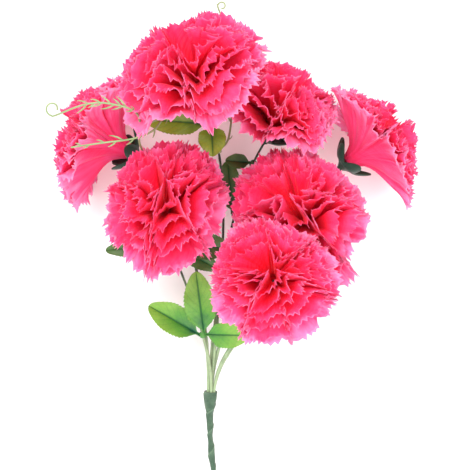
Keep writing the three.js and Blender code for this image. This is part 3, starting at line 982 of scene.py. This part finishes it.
class PetalStack:
    """The six fabric rounds of one flower."""

    CAD_THICKNESS = 1.0 * MM
    CLOTH = 0.25 * MM
    SEAT_PITCH = 1.1 * MM
    FLOOR_GAP = 0.4 * MM  # a petal that reaches the floor lies on it
    TOOTH_FACETS = 2
    STEPS = 19
    ROUNDS = (
        Round("outer_petals", FoldedRound.OPEN_LEAN, 5, 8, 1.0, 11, (0.58, 1.06), 0.0, 0.0),
        Round("middle_petals", 57, 6, 7, 1.0, 11, (0.2, 0.98), 0.9, 0.05),
        Round("", 49, 9, 6, 0.99, 11, (0.1, 0.95), 0.85, 0.1),
        Round("inner_petals", 40, 11, 5, 0.98, 13, (0.0, 0.93), 0.75, 0.18),
        Round("", 29, 13, 4, 0.97, 15, (0.0, 0.9), 0.6, 0.25),
        Round("heart_petals", 18, 13, 2, 0.94, 18, (0.0, 0.88), 0.4, 0.3),
    )

    def __init__(self, flower: str, place: FlowerPlace, habit: Habit) -> None:
        """Sets one flower's petals.

        Args:
            flower: The flower's name.
            place: Where it sits.
            habit: How it has been fluffed.
        """
        self.flower, self.place, self.habit = flower, place, habit
        self.draw = np.random.default_rng(habit.seed)
        self.shared = self.draw.uniform(0, TURN, 6)

    def build(self, wardrobe: Wardrobe) -> None:
        """Makes and dresses every round."""
        for level, shape in enumerate(self.ROUNDS):
            cloth = FoldedRound(shape, self.habit, level * self.SEAT_PITCH, self.shared, self.draw)
            name = f"petals_{self.flower}_{level + 1}"
            obj = formed_grid(name, cloth.TEETH * self.TOOTH_FACETS, self.STEPS, cloth.places, closed=True)
            obj.data.transform(self.place.matrix)
            places = places_of(obj)
            places[:, 2] = self.FLOOR_GAP + np.logaddexp(0, (places[:, 2] - self.FLOOR_GAP) / MM) * MM
            set_places(obj, places)
            self.add_cut_map(obj, cloth.length, shape.pink_and_shade_span)
            apply_modifier(obj, "SOLIDIFY", thickness=self.CLOTH, offset=0)
            shade(obj, 50)
            wardrobe.finish(obj, Finish.PETAL, [f"{shape.node}_{self.flower}"] if shape.node else [])
            cloth.area

    @staticmethod
    def add_cut_map(obj: bpy.types.Object, length: float, pink_and_shade_span: tuple[float, float]) -> None:
        """Adds a UV map of the cloth's flat place in metres, which its weave follows.

        Args:
            obj: The round.
            length: Its flat radius.
            pink_and_shade_span: Where its foot and its rim come on the petal ramp, from painted pocket shade
                to the cloth's pink.
        """
        data = obj.data
        shares = np.empty(len(data.loops) * 2, np.float32)
        data.uv_layers[0].data.foreach_get("uv", shares)
        u, v = shares.reshape(-1, 2).T
        cut = np.stack([v * length * np.cos(u * TURN), v * length * np.sin(u * TURN)], axis=1)
        data.uv_layers.new(name="cut").data.foreach_set("uv", cut.astype(np.float32).ravel())
        # The first UV map becomes the place on the petal ramp, from painted pocket shade at the foot to the
        # cloth's pink at the rim.
        pink_and_shade_uv = np.stack([u, pink_and_shade_span[0] + (pink_and_shade_span[1] - pink_and_shade_span[0]) * v], axis=1)
        data.uv_layers[0].data.foreach_set("uv", pink_and_shade_uv.astype(np.float32).ravel())


# ------------------------------------------------------------------ calyxes and stems


class Calyx:
    """A moulded cup with five sepals, a neck for the stem and a pin through the petals."""

    SIDES = 60
    WALL = 0.9 * MM
    SEPALS = 5
    NECK = 3 * MM  # it is round up to this radius, and ridged beyond
    RIDGE = 0.35 * MM
    RINGS = (  # radius and height of each ring, in mm
        (1.3, -7.8), (1.9, -7.8), (2.3, -7.2), (2.1, -6.3), (2.6, -5.4), (4.2, -3.6), (6.6, -2.0),
        (8.8, -1.4), (10.8, -0.2), (12.6, 1.4), (14.2, 3.2), (15.6, 5.0), (16.8, 6.8), (17.6, 8.4),
    )
    CUP_RING = 7  # the cup ends and the sepals begin here
    PIN = ((0.9, -2), (0.9, 5.2), (1.2, 5.4), (1.3, 5.8), (0.9, 6.2), (0.3, 6.3))

    def build(self, flower: str, place: FlowerPlace, wardrobe: Wardrobe) -> None:
        """Makes one flower's calyx.

        Args:
            flower: The flower's name.
            place: Where it sits.
            wardrobe: Dresses it.
        """
        wall = turned_wall(f"calyx_{flower}_cup", [(r * MM, z * MM) for r, z in self.RINGS], self.SIDES)
        places = places_of(wall)
        turn, radius = np.arctan2(places[:, 1], places[:, 0]), np.hypot(places[:, 0], places[:, 1])
        cup_radius, cup_height = (c * MM for c in self.RINGS[self.CUP_RING])
        past = radius > cup_radius + 1e-5
        tip = 0.5 + 0.5 * np.cos(self.SEPALS * turn)
        kept = np.where(past, 0.25 + 0.75 * tip**0.8, 1.0)
        ridge = np.where(radius > self.NECK, self.RIDGE * np.cos(self.SEPALS * turn), 0)
        new_radius = np.where(past, cup_radius + (radius - cup_radius) * kept, radius) + ridge
        places[:, 2] = np.where(past, cup_height + (places[:, 2] - cup_height) * kept, places[:, 2])
        places[:, 0], places[:, 1] = new_radius * np.cos(turn), new_radius * np.sin(turn)
        set_places(wall, places)
        merge_doubles(wall, outward=True)
        apply_modifier(wall, "SOLIDIFY", thickness=self.WALL, offset=-1)
        pin = turned_wall(f"calyx_{flower}_pin", [(r * MM, z * MM) for r, z in self.PIN], 16)
        close_ends(pin)
        obj = joined([wall, pin], f"flower_calyx_{flower}")
        obj.data.transform(place.matrix)
        shade(obj, 40)
        wardrobe.finish(obj, Finish.CALYX, [f"calyx_{flower}"])


class Stem:
    """A plastic-coated wire stem, swollen in a few places, pale low down and darkened higher up with painted
    shade where it runs under the heads.
    """

    FOOT_RADIUS = 1.15 * MM
    TOP_RADIUS = 0.8 * MM
    KNOTS = (0.22, 0.5, 0.77)  # shares of the length where the coat is swollen
    KNOT_RISE = 0.18 * MM
    STEPS = 150

    def __init__(self, flower: str) -> None:
        """Measures the stem's line."""
        self.flower = flower
        self.line = StemLine(flower)

    def build(self, wardrobe: Wardrobe) -> None:
        """Makes and dresses the stem."""
        line = smooth_line([Vector(p) for p in self.line.line], self.STEPS)
        share = np.linspace(0, 1, self.STEPS)
        radii = self.FOOT_RADIUS + (self.TOP_RADIUS - self.FOOT_RADIUS) * smooth(share, 0.1, 0.7)
        radii = radii * (1 + 0.05 * np.sin(share * 47 + 3) * np.sin(share * 29))
        for knot in self.KNOTS:
            radii = radii + self.KNOT_RISE * np.exp(-(((share - knot) / 0.008) ** 2))
        obj = tube(f"flower_stem_{self.flower}", line, radii)
        shade(obj, 50)
        wardrobe.finish(obj, Finish.STEM, [f"stem_{self.flower}"])


# ------------------------------------------------------------------ leaves


@dataclass(frozen=True)
class Leaf:
    """One leaf: the way it grows, the way its upper side looks, and its shape in metres."""

    toward: tuple[float, float, float]
    face: tuple[float, float, float]
    length: float
    width: float
    fold: float
    arch: float

    TEETH = 17
    ACROSS = 16
    ALONG = 85
    THICKNESS = 0.45 * MM
    VEINS = 8

    def form(self, u: Array, v: Array) -> Array:
        """Forms the blade, with +Y along the leaf.

        Args:
            u: Shares across it.
            v: Shares along it, from the stalk to the tip.

        Returns:
            The places, one to a row.
        """
        side = 2 * u - 1
        blade = np.sqrt(np.clip(1 - ((v - 0.53) / 0.47) ** 2, 0, 1)) * (1 - 0.18 * smooth(v, 0.6, 1.0))
        stalk = 1.0 * MM * (1 - v) ** 3 + 0.15 * MM
        half = np.maximum(self.width / 2 * blade * smooth(v, 0.0, 0.3) ** 0.7, stalk)
        tooth = ((v * self.TEETH) % 1.0) ** 1.5
        margin = np.abs(side) ** 6 * smooth(v, 0.12, 0.3) * (1 - smooth(v, 0.93, 1.0))
        x = side * half * (1 - 0.1 * margin * tooth)
        from_rib = np.abs(x)
        rib = 0.5 * MM * np.exp(-((from_rib / (0.6 * MM)) ** 2)) * (1 - 0.5 * v)
        veins = 0.22 * MM * saw(v * self.VEINS - np.abs(side) * 2.5 + 0.5) ** 2
        veins = veins * smooth(np.abs(side), 0.05, 0.4)
        wave = 0.6 * MM * np.sin(v * 17 + side * 2) * np.abs(side) ** 2 * smooth(v, 0.1, 0.4)
        z = 1.5 * self.fold * from_rib - self.arch * self.length * v**2 + veins + wave - rib
        return np.stack([x, v * self.length + 0.6 * MM * margin * tooth, z], axis=1)

    def build(self, name: str, foot: Vector) -> bpy.types.Object:
        """Makes the leaf with its stalk at a place."""
        obj = formed_grid(name, self.ACROSS, self.ALONG, self.form)
        apply_modifier(obj, "SOLIDIFY", thickness=self.THICKNESS, offset=0)
        y, z = unit(self.toward), Vector(self.face)
        z = (z - y * z.dot(y)).normalized()
        turn = Matrix((y.cross(z), y, z)).transposed()
        obj.data.transform(Matrix.Translation(foot) @ turn.to_4x4())
        return obj


class Collar:
    """A short moulded ring that holds leaves or a sprig on a stem."""

    BORE = 1.3 * MM
    WALL = 0.9 * MM
    HEIGHT = 4 * MM
    SIDES = 20
    PROFILE = ((0.9, -1), (1, -0.8), (1.06, 0), (1, 0.8), (0.9, 1))  # shares of the radius and half height

    def __init__(self, stem: StemLine, share: float) -> None:
        """Finds the collar's place on a stem."""
        self.centre, self.way = stem.at(share)

    def seat(self, toward: Sequence[float]) -> Vector:
        """Gives the place in the collar's wall on the side that a direction points to."""
        side = unit(toward)
        side = (side - self.way * side.dot(self.way)).normalized()
        return self.centre + side * (self.BORE + self.WALL / 2)

    def build(self, name: str) -> bpy.types.Object:
        """Makes the ring."""
        half, outer = self.HEIGHT / 2, self.BORE + self.WALL
        rings = [(outer * wide, half * high) for wide, high in self.PROFILE]
        obj = turned_wall(name, rings, self.SIDES)
        merge_doubles(obj, outward=True)
        apply_modifier(obj, "SOLIDIFY", thickness=self.WALL, offset=-1)
        turn = Vector((0, 0, 1)).rotation_difference(self.way).to_matrix().to_4x4()
        obj.data.transform(Matrix.Translation(self.centre) @ turn)
        return obj


@dataclass(frozen=True)
class LeafSet:
    """Leaves moulded on one collar."""

    node: str
    stem: str
    share: float
    tone: Finish
    leaves: tuple[Leaf, ...]

    def build(self, stems: dict[str, StemLine], wardrobe: Wardrobe) -> None:
        """Makes and dresses the set."""
        collar = Collar(stems[self.stem], self.share)
        parts = [collar.build(f"{self.node}_collar")]
        for i, blade in enumerate(self.leaves):
            parts.append(blade.build(f"{self.node}_{i}", collar.seat(blade.toward)))
        obj = joined(parts, f"bunch_{self.node}")
        shade(obj, 45)
        wardrobe.finish(obj, self.tone, [self.node])


def leaf(toward: tuple, face: tuple, length: float, width: float, fold: float, arch: float) -> Leaf:
    """Makes a leaf from its length and width in millimetres."""
    return Leaf(toward, face, length * MM, width * MM, fold, arch)


LEAF_SETS = (
    LeafSet("leaves_fork", "left", 0.35, Finish.LEAF, (
        leaf((-0.86, 0.51, 0.12), (0.1, 0.1, 1), 42, 22, 0.3, 0.12),
        leaf((-0.13, 0.98, 0.32), (0, -0.2, 1), 46, 23, 0.2, 0.1),
        leaf((0.95, -0.03, 0.5), (-0.4, -0.2, 1), 34, 19, 0.15, 0.1),
    )),
    LeafSet("leaves_top", "top", 0.9, Finish.YELLOW_LEAF, (
        leaf((-0.97, 0.06, 0.3), (0.3, 0, 1), 46, 19, 0.15, 0.1),
        leaf((0.05, -0.85, 0.45), (0, 0.4, 1), 23, 20, 0.2, 0.2),
        leaf((0.6, 0.7, 0.1), (-0.6, 0, 1), 18, 10, 0.3, 0.1),
    )),
    LeafSet("leaves_centre", "upper_right", 0.68, Finish.DARK_LEAF, (
        leaf((-0.1, 0.98, 0.15), (-0.2, 0, 1), 38, 19, 0.25, 0.1),
        leaf((0.8, 0.3, 0.3), (0, 0, 1), 20, 11, 0.25, 0.1),
    )),
    LeafSet("leaves_upper_right", "upper_right", 0.88, Finish.DARK_LEAF, (
        leaf((-0.95, 0.1, 0.2), (-0.1, 0.1, 1), 18, 11, 0.25, 0.1),
        leaf((0.7, -0.6, 0.2), (0, 0, 1), 18, 10, 0.3, 0.1),
    )),
    LeafSet("leaves_far_right", "far_right", 0.84, Finish.DARK_LEAF, (
        leaf((-0.66, 0.72, 0.2), (0.3, 0, 1), 36, 10, 0.3, 0.1),
        leaf((0.8, 0.1, 0.6), (0, 0.5, 0.8), 24, 9, 0.2, 0.2),
        leaf((0.8, -0.5, 0.1), (0, 0, 1), 26, 12, 0.2, 0.1),
    )),
    LeafSet("leaves_right", "right", 0.73, Finish.LEAF, (
        leaf((-0.8, -0.5, 0.3), (0, 0, 1), 24, 10, 0.25, 0.1),
        leaf((0.9, -0.4, 0.1), (0, 0, 1), 20, 11, 0.2, 0.1),
    )),
    LeafSet("leaves_left", "left", 0.84, Finish.DARK_LEAF, (
        leaf((-0.98, -0.1, 0.05), (0, 0, 1), 44, 14, 0.2, 0.1),
        leaf((0.98, -0.1, 0), (0, 0, 1), 42, 20, 0.2, 0.1),
        leaf((0.84, -0.5, -0.15), (0, 0, 1), 38, 15, 0.2, 0.1),
    )),
)


# ------------------------------------------------------------------ sprigs


@dataclass(frozen=True)
class Sprig:
    """A soft tendril with flat leaflets on both sides, and a curl at its end."""

    node: str
    stem: str
    share: float
    side: tuple[float, float, float]
    steps: tuple[tuple[float, float, float], ...]
    curl: float
    leafy: float
    leaflets: int

    RADIUS = 0.8 * MM
    CURL_TURNS = 0.85
    CURL_STEPS = 10
    STEPS = 120
    BLADE = 0.5 * MM  # thickness of a leaflet
    LEAFLET = (5, 12)  # shortest and longest, in mm

    def line(self, start: Vector) -> list[Vector]:
        """Gives the tendril's chosen places and its curl from where it starts."""
        points = [start] + [start + Vector(s) * MM for s in self.steps]
        if not self.curl:
            return points
        last, way = points[-1], (points[-1] - points[-2]) * Vector((1, 1, 0))
        way.normalize()
        inward = Vector((way.y, -way.x, 0))
        for i in range(1, self.CURL_STEPS + 1):
            turn = TURN * self.CURL_TURNS * i / self.CURL_STEPS
            reach = self.curl * MM * (1 - 0.035 * i)
            inner = inward * (self.curl * MM - reach * math.cos(turn))
            points.append(last + inner + way * reach * math.sin(turn))
        return points

    def leaflet(self, name: str, foot: Vector, way: Vector, out: Vector, length: float) -> bpy.types.Object:
        """Makes one flat curved leaflet.

        Args:
            name: The new object's name.
            foot: Where it starts, on the tendril.
            way: The tendril's direction there.
            out: The side it grows to.
            length: Its length.

        Returns:
            The leaflet.
        """
        up = way.cross(out).normalized()

        def form(u: Array, v: Array) -> Array:
            """Gives places from the shares across and along the leaflet."""
            side = 2 * u - 1
            half = 0.3 * MM + 0.55 * MM * np.sin(math.pi * v**0.8) ** 1.3
            ahead, aside = np.sin(v * 0.75) / 0.85, 0.75 * (v - 0.4 * v**2)
            middle = np.array(foot)[None, :] + length * (np.outer(ahead, way) + np.outer(aside, out))
            lift = 0.12 * length * v**2 - 0.3 * half * side**2
            return middle + np.outer(side * half * (1 - 0.6 * v), out) + np.outer(lift, up)

        obj = formed_grid(name, 4, 10, form)
        apply_modifier(obj, "SOLIDIFY", thickness=self.BLADE, offset=0)
        apply_modifier(obj, "SUBSURF", levels=1, render_levels=1)
        return obj

    def build(self, stems: dict[str, StemLine], wardrobe: Wardrobe) -> None:
        """Makes and dresses the sprig."""
        collar = Collar(stems[self.stem], self.share)
        line = smooth_line(self.line(collar.seat(self.side)), self.STEPS)
        share = np.linspace(0, 1, self.STEPS)
        parts = [tube(f"{self.node}_tendril", line, self.RADIUS * (1 - 0.25 * share), 3)]
        parts.append(collar.build(f"{self.node}_collar"))
        draw = np.random.default_rng(self.leaflets)
        last = 0.72 if self.curl else 0.95
        for i in range(self.leaflets):
            place = self.leafy + (last - self.leafy) * (i + draw.uniform(-0.35, 0.35)) / (self.leaflets - 1)
            k = int(max(place, self.leafy) * (self.STEPS - 2))
            way = Vector(line[k + 1] - line[k]).normalized()
            out = Vector((-way.y, way.x, draw.uniform(-0.4, 0.9))).normalized() * (1 if i % 2 else -1)
            length = draw.uniform(*self.LEAFLET) * MM
            parts.append(self.leaflet(f"{self.node}_{i}", Vector(line[k]), way, out, length))
        obj = joined(parts, f"bunch_{self.node}")
        shade(obj, 50)
        wardrobe.finish(obj, Finish.SPRIG, [self.node])


SPRIGS = (
    Sprig(
        "sprig_low", "top", 0.94, (-0.8, 0.1, 0.5),
        ((-24, 1, 20), (-36, -12, 33), (-50, -18, 39), (-71, -21, 42), (-93, -24, 37)), 0, 0.25, 11,
    ),
    Sprig(
        "sprig_high", "far_left", 0.88, (-0.3, 0.8, 0.4),
        ((-9, 7, 14), (-16, 20, 36), (-17, 40, 64), (-37, 47, 70), (-54, 46, 69), (-74, 39, 60)), 5, 0.5, 12,
    ),
    Sprig(
        "sprig_top", "top", 0.8, (0.9, 0.2, -0.1),
        ((6, 10, -10), (8, 40, -16), (5, 80, -14), (-2, 101, -4)), 3, 0.1, 8,
    ),
)


# ------------------------------------------------------------------ handle


class Handle:
    """The bound lower end of the bundle, wound in laps of crepe tape."""

    LAPS = 4.6
    SIDES = 56
    STEPS = 190
    LAP_RISE = 0.55 * MM
    SLICES = 14  # that its node is measured in
    WHOLE_RING = 8  # a slice with fewer vertices is passed over

    def __init__(self) -> None:
        """Measures the handle's middle line from its node's rings."""
        places = node_places("handle")
        edges = np.linspace(places[:, 1].min(), places[:, 1].max(), self.SLICES + 1)
        self.line: list[Vector] = []
        self.radii: list[float] = []
        for a, b in zip(edges, edges[1:]):
            ring = places[(places[:, 1] >= a - 1e-6) & (places[:, 1] <= b + 1e-6)]
            if len(ring) >= self.WHOLE_RING:
                centre = (ring.min(axis=0) + ring.max(axis=0)) / 2
                self.line.append(Vector(centre))
                self.radii.append(float((ring[:, 0].max() - ring[:, 0].min()) / 2))

    def build(self, wardrobe: Wardrobe) -> None:
        """Makes and dresses the handle."""
        line = smooth_line(self.line, self.STEPS + 1)
        shares = np.linspace(0, 1, self.STEPS + 1)
        radius_at = np.interp(shares, np.linspace(0, 1, len(self.radii)), self.radii)

        def form(u: Array, v: Array) -> Array:
            """Gives places from the shares round and along the handle."""
            k = np.round(v * self.STEPS).astype(int)
            ahead = line[np.minimum(k + 1, self.STEPS)] - line[np.maximum(k - 1, 0)]
            ahead = ahead / np.linalg.norm(ahead, axis=1)[:, None]
            side = np.cross(ahead, (0, 0, 1))
            side = side / np.linalg.norm(side, axis=1)[:, None]
            up = np.cross(side, ahead)
            turn = u * TURN
            lap = (v * self.LAPS + u) % 1.0
            lumps = 0.05 * np.sin(2 * turn + v * 21) + 0.03 * np.sin(5 * turn + 3 + v * 8)
            radius = radius_at[k] * (0.95 + lumps) + self.LAP_RISE * lap**5
            return line[k] + side * (radius * np.cos(turn))[:, None] + up * (radius * np.sin(turn))[:, None]

        obj = formed_grid("bunch_handle", self.SIDES, self.STEPS, form, closed=True)
        close_ends(obj)
        shade(obj, 40)
        wardrobe.finish(obj, Finish.TAPE, ["handle"])


# ------------------------------------------------------------------ studio


class Studio:
    """The floor, the lights and the camera."""

    VIEW = 0.329  # width of the view at the middle of the bunch, m
    HEIGHT = 2.4  # of the camera
    SENSOR = 0.036
    MIDDLE = 0.07  # height of the bunch's middle
    MOUTH = 0.0047  # from the handle's left side to the middle of its upper end
    FROM_MOUTH = (0.0177, 0.1092)  # from there to the middle of the view
    AIM = (0, 0.02, 0.05)  # what the lights point at

    def build_camera(self) -> None:
        """Looks straight down on the bunch."""
        low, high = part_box("handle")
        centre = (low.x + self.MOUTH + self.FROM_MOUTH[0], high.y + self.FROM_MOUTH[1])
        deselect_all()
        bpy.ops.object.camera_add(location=(*centre, self.HEIGHT), rotation=(0, 0, 0))
        camera = bpy.context.object
        camera.data.sensor_width = self.SENSOR * 1000
        camera.data.lens = self.SENSOR * 1000 * (self.HEIGHT - self.MIDDLE) / self.VIEW
        camera.data.clip_end = 20
        bpy.context.scene.camera = camera

    def add_light(self, name: str, place: tuple[float, float, float], size: float, power: float) -> None:
        """Adds a soft square light aimed at the bunch."""
        deselect_all()
        turn = (Vector(self.AIM) - Vector(place)).to_track_quat("-Z", "Y").to_euler()
        bpy.ops.object.light_add(type="AREA", location=place, rotation=turn)
        light = bpy.context.object
        light.name = name
        light.data.size = size
        light.data.energy = power

    def build(self, wardrobe: Wardrobe) -> None:
        """Sets the floor, the lights and the room's even light."""
        deselect_all()
        bpy.ops.mesh.primitive_plane_add(size=6)
        floor = bpy.context.object
        floor.name = "studio_floor"
        floor.data.materials.append(wardrobe.floor)
        self.add_light("key", (-0.7, 0.9, 1.7), 1.2, 26)
        self.add_light("fill", (0.9, -0.3, 1.6), 1.6, 14)
        self.add_light("front", (0.0, -1.0, 1.0), 1.2, 8)
        world = bpy.data.worlds.new("room")
        world.use_nodes = True
        sky = world.node_tree.nodes["Background"].inputs
        sky[0].default_value, sky[1].default_value = (1, 1, 1, 1), 1.15
        bpy.context.scene.world = world
        bpy.context.scene.view_settings.view_transform = "Standard"


# ------------------------------------------------------------------ the bunch


HABITS = {
    "top": Habit(1.12, 11, oval=(10, 0.94), closed=(-70, 0.12), fan=(120, 0.9)),
    "far_left": Habit(1.04, 12, oval=(90, 1.02), closed=(0, 0.5), fan=(240, 0.5)),
    "upper_right": Habit(0.98, 13, closed=(-50, 0.4), fan=(60, 0.9)),
    "far_right": Habit(0.97, 14, oval=(90, 1.06), closed=(175, 0.46), fan=(90, 0.5)),
    "left": Habit(1.05, 15, oval=(-15, 0.82), closed=(120, 0.1), fan=(150, 0.9)),
    "right": Habit(1.17, 16, oval=(45, 0.75), closed=(45, 0.1), fan=(140, 0.9)),
    "front": Habit(0.91, 17, oval=(45, 0.95), closed=(60, 0.16), fan=(110, 0.9), taper=0.2),
}


def build_bunch(wardrobe: Wardrobe) -> None:
    """Builds the handle, the flowers on their stems, the leaves and the sprigs."""
    Handle().build(wardrobe)
    stems: dict[str, StemLine] = {}
    for flower, habit in HABITS.items():
        place, stem = FlowerPlace.measured(flower), Stem(flower)
        stems[flower] = stem.line
        stem.build(wardrobe)
        Calyx().build(flower, place, wardrobe)
        PetalStack(flower, place, habit).build(wardrobe)
    for piece in (*LEAF_SETS, *SPRIGS):
        piece.build(stems, wardrobe)


def main() -> None:
    """Builds the studio and the bunch."""
    logging.basicConfig(level=logging.INFO, format="%(name)s %(message)s")
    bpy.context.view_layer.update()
    wardrobe, studio = Wardrobe(), Studio()
    studio.build_camera()
    build_bunch(wardrobe)
    studio.build(wardrobe)


if __name__ == "__main__":
    main()
